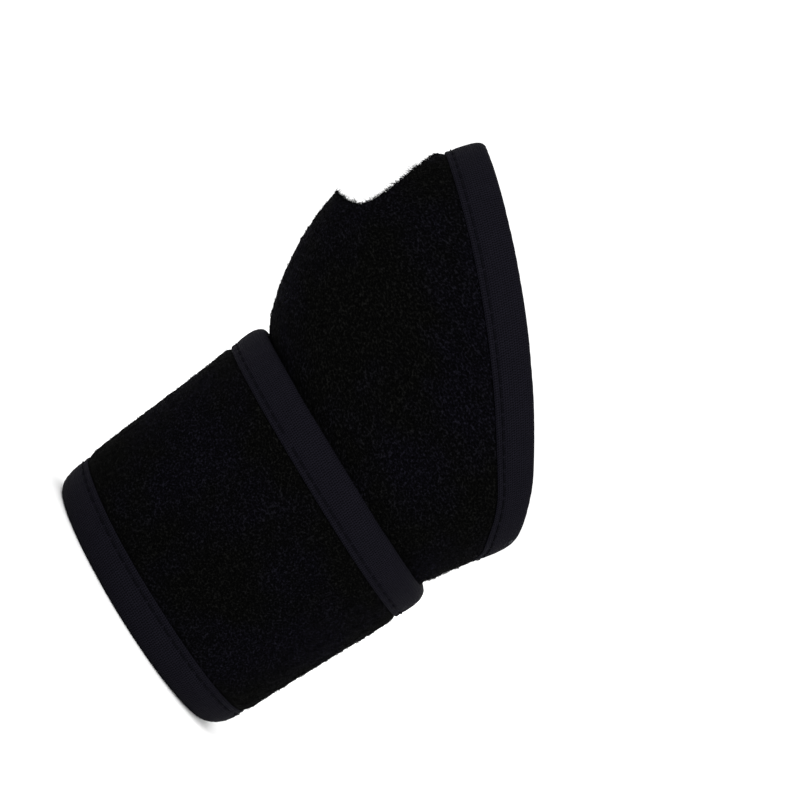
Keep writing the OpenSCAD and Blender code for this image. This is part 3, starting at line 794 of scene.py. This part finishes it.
class Nodes:
    """A material's node tree, with short calls for what the fabrics use."""

    def __init__(self, name, roughness, specular, sheen=0.0, sheen_roughness=0.5):
        self.material = bpy.data.materials.new(name)
        self.material.use_nodes = True
        self.tree = self.material.node_tree
        self.shader = self.tree.nodes["Principled BSDF"]
        self.set(self.shader, roughness=roughness)
        self.shader.inputs["Specular IOR Level"].default_value = specular
        self.shader.inputs["Sheen Weight"].default_value = sheen
        self.shader.inputs["Sheen Roughness"].default_value = sheen_roughness

    @staticmethod
    def set(node, **values):
        for key, value in values.items():
            node.inputs[key.replace("_", " ").title()].default_value = value

    def add(self, kind, **properties):
        node = self.tree.nodes.new(kind)
        for key, value in properties.items():
            setattr(node, key, value)
        return node

    def link(self, source, target):
        self.tree.links.new(source, target)

    def uv(self):
        return self.add("ShaderNodeTexCoord").outputs["UV"]

    def math(self, operation, a, b=None):
        node = self.add("ShaderNodeMath", operation=operation)
        for socket, value in zip(node.inputs, (a, b)):
            if value is None:
                continue
            if isinstance(value, (int, float)):
                socket.default_value = value
            else:
                self.link(value, socket)
        return node.outputs[0]

    def noise(self, scale, detail=2.0, roughness=0.5, vector=None):
        node = self.add("ShaderNodeTexNoise")
        self.set(node, scale=scale, detail=detail, roughness=roughness)
        self.link(vector or self.uv(), node.inputs["Vector"])
        return node.outputs[0]

    def cells(self, scale, vector=None):
        node = self.add("ShaderNodeTexVoronoi")
        self.set(node, scale=scale)
        self.link(vector or self.uv(), node.inputs["Vector"])
        return node.outputs["Distance"]

    def ramp(self, value, *stops):
        node = self.add("ShaderNodeValToRGB")
        while len(node.color_ramp.elements) < len(stops):
            node.color_ramp.elements.new(0.5)
        for element, (place_at, color) in zip(node.color_ramp.elements, stops):
            element.position = place_at
            element.color = (*color, 1) if isinstance(color, tuple) else (color, color, color, 1)
        self.link(value, node.inputs[0])
        return node.outputs[0]

    def mix(self, factor, a, b, kind="MIX"):
        node = self.add("ShaderNodeMix", data_type="RGBA", blend_type=kind)
        sockets = [s for s in node.inputs if s.type == "RGBA"]
        for socket, value in zip(sockets, (a, b)):
            if isinstance(value, tuple):
                socket.default_value = (*value, 1)
            else:
                self.link(value, socket)
        if isinstance(factor, (int, float)):
            node.inputs[0].default_value = factor
        else:
            self.link(factor, node.inputs[0])
        return [s for s in node.outputs if s.type == "RGBA"][0]

    def bump(self, height, distance, strength=1.0):
        node = self.add("ShaderNodeBump")
        self.set(node, strength=strength, distance=distance)
        self.link(height, node.inputs["Height"])
        self.link(node.outputs[0], self.shader.inputs["Normal"])

    def color(self, value):
        self.link(value, self.shader.inputs["Base Color"])
        return self.material


def pile_material():
    n = Nodes("loop_pile", 0.95, 0.012)
    curls = n.cells(1900)
    fine = n.noise(2200, 3, 0.6)
    speckle = n.math("ADD", n.math("MULTIPLY", curls, 0.3), n.math("MULTIPLY", fine, 0.75))
    shade = n.ramp(speckle, (0.38, (0.0002, 0.0002, 0.0002)), (0.56, (0.0009, 0.0009, 0.00085)),
                   (0.77, (0.0054, 0.0054, 0.0051)))
    blotch = n.ramp(n.noise(42, 3, 0.6), (0.44, 0.0), (0.62, 1.0))
    blue = n.mix(1.0, shade, (1.3, 1.2, 2.3), "MULTIPLY")
    n.bump(speckle, 0.0006, 0.9)
    return n.color(n.mix(n.math("MULTIPLY", blotch, 0.8), shade, blue))


def foam_material():
    n = Nodes("foam", 0.9, 0.03)
    pores = n.cells(2600)
    n.bump(pores, 0.0003, 0.6)
    return n.color(n.ramp(pores, (0.0, (0.0015, 0.0015, 0.0016)), (0.6, (0.005, 0.005, 0.0054))))


def knit(n, along, across):
    """A soft lattice of crossing ribs, along u and across v, in threads per metre."""
    parts = n.add("ShaderNodeSeparateXYZ")
    n.link(n.uv(), parts.inputs[0])
    u = n.math("MULTIPLY", parts.outputs[0], along * 2 * math.pi)
    v = n.math("MULTIPLY", parts.outputs[1], across * 2 * math.pi)
    lean = n.math("MULTIPLY", n.math("SINE", v), 0.9)
    ribs = n.math("SINE", n.math("ADD", u, lean))
    courses = n.math("SINE", n.math("MULTIPLY", v, 2.0))
    both = n.math("ADD", n.math("MULTIPLY", ribs, 0.32), n.math("MULTIPLY", courses, 0.18))
    return n.math("ADD", both, 0.5)


def tape_material():
    n = Nodes("edge_tape", 0.8, 0.02)
    weave = knit(n, 1650, 900)
    worn = n.noise(240, 3, 0.6)
    height = n.math("ADD", n.math("MULTIPLY", weave, 0.75), n.math("MULTIPLY", n.noise(2100, 3, 0.6), 0.7))
    n.bump(height, 0.0003, 0.8)
    shade = n.ramp(height, (0.35, (0.0004, 0.00035, 0.0007)), (1.0, (0.0068, 0.0063, 0.0102)))
    return n.color(n.mix(n.math("MULTIPLY", worn, 0.5), shade, (0.0012, 0.0011, 0.002)))


def lining_material():
    n = Nodes("lining", 0.9, 0.02)
    weave = knit(n, 1400, 1100)
    n.bump(n.math("ADD", weave, n.math("MULTIPLY", n.noise(4200, 2), 0.4)), 0.0002, 0.7)
    shade = n.ramp(weave, (0.1, (0.0018, 0.0018, 0.002)), (0.9, (0.0065, 0.0065, 0.007)))
    return n.color(n.mix(n.math("MULTIPLY", n.noise(60, 2), 0.5), shade, (0.003, 0.003, 0.0034)))


def thread_material(name, dark, light):
    n = Nodes(name, 0.85, 0.02)
    coords = n.add("ShaderNodeTexCoord").outputs["Object"]
    twist = n.noise(5200, 2, 0.5, coords)
    n.bump(twist, 0.0001, 0.5)
    return n.color(n.ramp(twist, (0.3, dark), (0.7, light)))


def hook_material(name, dark, light):
    n = Nodes(name, 0.6, 0.08)
    coords = n.add("ShaderNodeTexCoord").outputs["Object"]
    grain = n.noise(3000, 2, 0.5, coords)
    n.bump(grain, 0.0001, 0.4)
    return n.color(n.ramp(grain, (0.3, dark), (0.7, light)))


# ---- Build the pieces ------------------------------------------------------------------------------------

crown_field = Crown()
pile, foam, tape = pile_material(), foam_material(), tape_material()
lining = lining_material()
thread = thread_material("thread", (0.0007, 0.0007, 0.0011), (0.003, 0.003, 0.0044))
fibre = thread_material("fibre", (0.001, 0.001, 0.0011), (0.003, 0.003, 0.0032))
tail = thread_material("thread_tail", (0.018, 0.019, 0.022), (0.052, 0.055, 0.06))
ground = hook_material("hook_ground", (0.0012, 0.0012, 0.0014), (0.0035, 0.0035, 0.0038))
nylon = hook_material("hook_nylon", (0.003, 0.003, 0.0032), (0.008, 0.008, 0.0085))


def joint_axis(name):
    joint = next(j for j in frame["joints"] if j["name"] == name)
    return Vector(joint["pos_m"])


def fold(obj, a, b, joint, phi, reach):
    """The piece's placement is baked into its mesh; it is not bent, nor given to a body."""
    start = joint_axis(joint)
    start.z = 0
    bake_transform(obj)


# The two bodies and the joint of each fold, its angle, and a reach past it.
FOLDS = {
    "back": ("wrap", "strap_back", "strap_lift", BACK_FOLD, 15),
    "side": ("strap_back", "strap_side", "strap_unwrap", SIDE_FOLD, 13),
    "tab": ("strap_side", "tab", "tab_peel", TAB_FOLD, 11),
}


NETS = {
    "hand": hand_net,
    "back": lambda coarse: strap_net(HAND_END, BACK_MID, coarse),
    "side": lambda coarse: strap_net(BACK_MID, SIDE_MID, coarse),
    "tab": tab_net,
}


def own(part, obj, slot, *nodes):
    """A hand section piece rides on the wrap body, any other is baked where it lies; the piece stands for
    these nodes.
    """
    if part == "hand":
        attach(obj, "wrap")
    else:
        fold(obj, *FOLDS[part])
    if nodes:
        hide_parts(*nodes)
    return obj


def sewn(name, path, offset=0.0):
    """A seam's stitches along an edge, on both faces of the tape."""
    return thread_tubes(name, both_faces(path, offset), STITCH_RADIUS, thread)


for part, net in NETS.items():
    fine, plain = net(1.0), net(PLAIN_COARSE)
    cloth = fine.layer(f"{part}_pile_cloth", 2, 3, pile, PILE_LUMP)
    face = own(part, cloth, "loop_pile", f"{part}_loop_face")
    core = own(part, plain.layer(f"{part}_foam", 1, 2, foam), "foam", f"{part}_core")
    skin = own(part, plain.layer(f"{part}_lining_cloth", 0, 1, lining), "lining", f"{part}_lining")
    own(part, pile_loops(f"{part}_loops", fine, LOOP_DENSITY, fibre), "loop_pile")

# One tape runs along the proximal edge, round the tab and back along the distal edge.
tape_ends = {"hand": (FLAP_START, HAND_END), "back": (HAND_END, BACK_MID), "side": (BACK_MID, SIDE_MID)}
end_path = tab_path(1.0, 14, 20)
tab_starts = path_length(low_path(FLAP_START, SIDE_MID))[-1]
tab_ends = tab_starts + path_length(end_path)[-1]
trims = {part: [] for part in NETS}
for part, (start, end) in tape_ends.items():
    low, high = low_path(start, end), high_path(end, start)
    run = path_length(low_path(FLAP_START, start))[-1] if start > FLAP_START else 0.0
    back_run = tab_ends + (path_length(high_path(SIDE_MID, end))[-1] if end < SIDE_MID else 0.0)
    pieces = (
        (edge_tape(f"{part}_proximal_tape", low, tape, run), "edge_tape", f"{part}_proximal_binding"),
        (edge_tape(f"{part}_distal_tape", high, tape, back_run), "edge_tape", f"{part}_distal_binding"),
        (sewn(f"{part}_proximal_stitches", low, run), "thread", f"{part}_proximal_seam"),
        (sewn(f"{part}_distal_stitches", high, back_run), "thread", f"{part}_distal_seam"),
    )
    trims[part] = [own(part, *piece) for piece in pieces]

trims["tab"] = [
    own("tab", edge_tape("tab_tape", end_path, tape, tab_starts), "edge_tape", "tab_binding"),
    own("tab", sewn("tab_stitches", end_path, tab_starts), "thread", "tab_seam"),
]
flap = flap_path()
trims["hand"] += [
    own("hand", edge_tape("flap_end_tape", flap, tape), "edge_tape", "flap_end_binding"),
    own("hand", sewn("flap_end_stitches", flap), "thread", "flap_end_seam"),
    own("hand", raw_edge_fuzz("thumb_hole_fuzz", HOLE_FIBRES, fibre), "loop_pile"),
]


PATCH_SEAM_IN = 1.5  # from the hook patch's edge to its seam


def patch_path(inset):
    """A closed path round the hook patch."""
    p0, p1 = HOOK_FROM + inset / TAB_DEGREE, HOOK_TO - inset / TAB_DEGREE
    z0, z1 = HOOK_LOW + inset, STRAP_H - HOOK_LOW - inset
    corners = [(p0, z0), (p1, z0), (p1, z1), (p0, z1), (p0, z0)]
    path = []
    for (pa, za), (pb, zb) in zip(corners, corners[1:]):
        path += [(lerp(pa, pb, t), lerp(za, zb, t), 0, 0) for t in np.linspace(0, 1, 30)]
    return np.array(path)


own("tab", hook_backing("hook_ground", ground), "hook_tape", "hook_patch")
own("tab", hooks("hook_rows", nylon), "hook_tape")
seam = patch_path(PATCH_SEAM_IN)
seam_lines = np.concatenate([stitches(seam, 0, -0.5, -1), stitches(seam, 0, LAMINATE_T + CROWN, 1)])
own("tab", thread_tubes("hook_stitches", seam_lines, STITCH_RADIUS, thread), "thread", "hook_seam")

# A loose end of thread at the little-finger end of the distal tape.
TAIL_PHI, TAIL_IN, TAIL_RADIUS = 255.0, 3.8, 0.2
steps = np.arange(4)
tail_z = distal_z(TAIL_PHI) - TAIL_IN - 0.3 * steps
loose = place(TAIL_PHI + 0.5 * steps, tail_z, LAMINATE_T + 0.3 + 0.12 * np.sin(2.0 * steps))
own("hand", thread_tubes("loose_thread_end", loose[None], TAIL_RADIUS, tail), "thread")


# ---- Floor, lights and camera ------------------------------------------------------------------------------


def floor():
    mesh = bpy.data.meshes.new("floor")
    mesh.from_pydata([(-4, -4, 0), (4, -4, 0), (4, 4, 0), (-4, 4, 0)], [], [(0, 1, 2, 3)])
    obj = bpy.data.objects.new("floor", mesh)
    bpy.context.scene.collection.objects.link(obj)
    n = Nodes("floor", 0.9, 0.1)
    n.color(n.ramp(n.noise(3, 2), (0.0, (0.9, 0.9, 0.9)), (1.0, (0.93, 0.93, 0.93))))
    mesh.materials.append(n.material)


def area_light(name, place_at, size, power):
    light = bpy.data.lights.new(name, "AREA")
    light.shape = "DISK"
    light.size = size
    light.energy = power
    obj = bpy.data.objects.new(name, light)
    bpy.context.scene.collection.objects.link(obj)
    obj.location = place_at
    obj.rotation_euler = (Vector((0, 0, 0.07)) - Vector(place_at)).to_track_quat("-Z", "Y").to_euler()


def world():
    world = bpy.data.worlds.new("studio")
    world.use_nodes = True
    background = world.node_tree.nodes["Background"]
    background.inputs["Color"].default_value = (1, 1, 1, 1)
    background.inputs["Strength"].default_value = 1.2
    bpy.context.scene.world = world


def camera():
    """Square on to the back of the hand, rolled so that the fingers point up and to the right."""
    aim = Vector((-8.5, 0, 83)) * MM
    distance, view_width = 0.44, 0.2
    data = bpy.data.cameras.new("camera")
    data.sensor_width = 36
    data.lens = data.sensor_width * distance / view_width
    data.clip_start = 0.01
    obj = bpy.data.objects.new("camera", data)
    bpy.context.scene.collection.objects.link(obj)
    right, up, back = Vector((0.521, 0, 0.8535)), Vector((-0.8535, 0, 0.521)), Vector((0, -1, 0))
    turn = Matrix((right, up, back)).transposed().to_4x4()
    obj.matrix_world = Matrix.Translation(aim + back * distance) @ turn
    bpy.context.scene.camera = obj


floor()
area_light("key", (-0.7, -1.0, 1.1), 0.9, 14)
area_light("fill", (0.9, -0.8, 0.6), 0.9, 7)
area_light("back", (0.2, 1.2, 0.9), 0.9, 8)
world()
camera()
bpy.context.scene.view_settings.view_transform = "Standard"
